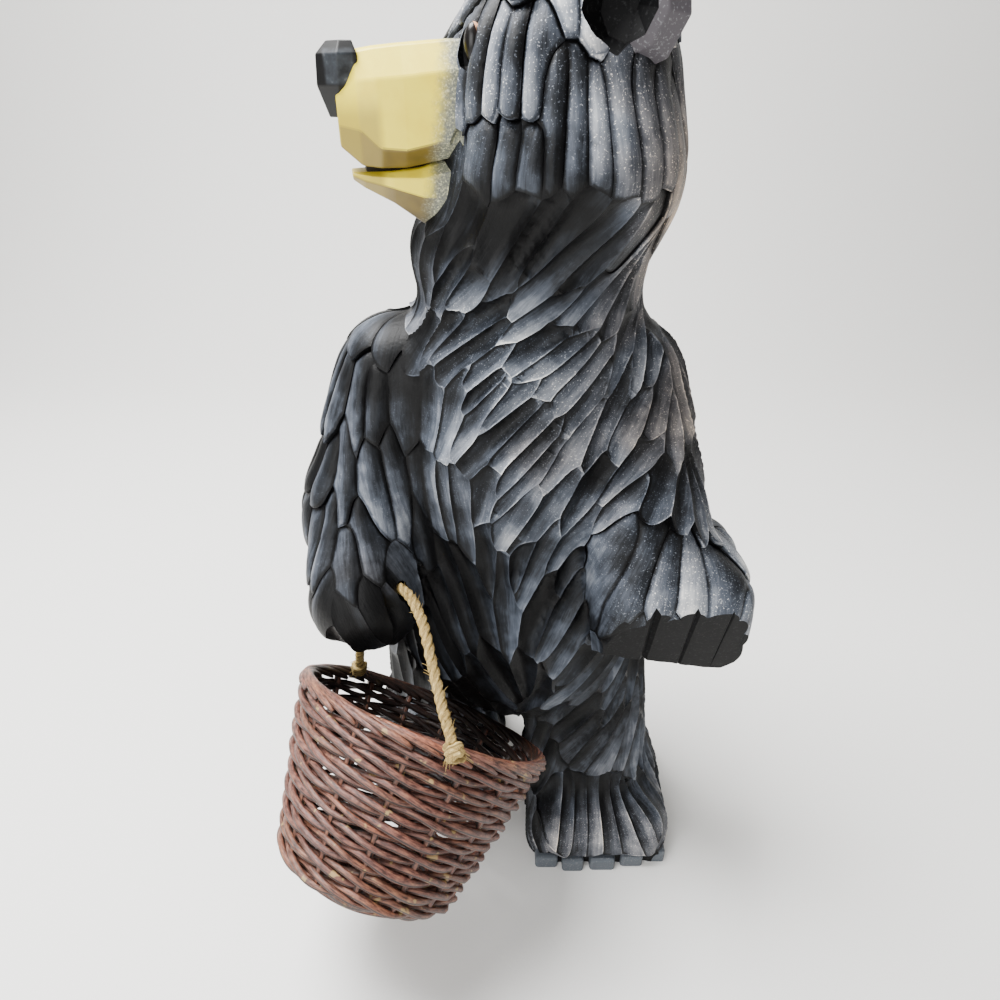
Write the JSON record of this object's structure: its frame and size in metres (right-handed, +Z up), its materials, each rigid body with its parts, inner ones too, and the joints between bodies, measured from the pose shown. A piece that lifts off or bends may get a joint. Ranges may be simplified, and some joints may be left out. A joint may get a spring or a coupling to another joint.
{
  "type": "resin bear door greeter",
  "caption": "Standing carved-fur bear figure in cast resin, head turned to its right, holding a small hollow willow basket by a jute rope through its paw.",
  "frame": {"origin": "on the floor, under the middle of the box around the bear and its basket", "axes": "+Z up, the chest faces -Y, the muzzle points to -X"},
  "size_m": [0.1746, 0.1718, 0.3506],
  "materials": {
    "resin": "satin painted cast resin, charcoal with a pale dry-brushed grain and a cream muzzle",
    "willow": "satin stained willow rods",
    "jute": "rough twisted jute"
  },
  "bodies": {
    "root": {"bear": "resin", "basket_wall": "willow", "basket_base": "willow", "basket_rim": "willow", "handle_rope": "jute", "rope_knot_near": "jute", "rope_knot_far": "jute"}
  },
  "joints": []
}
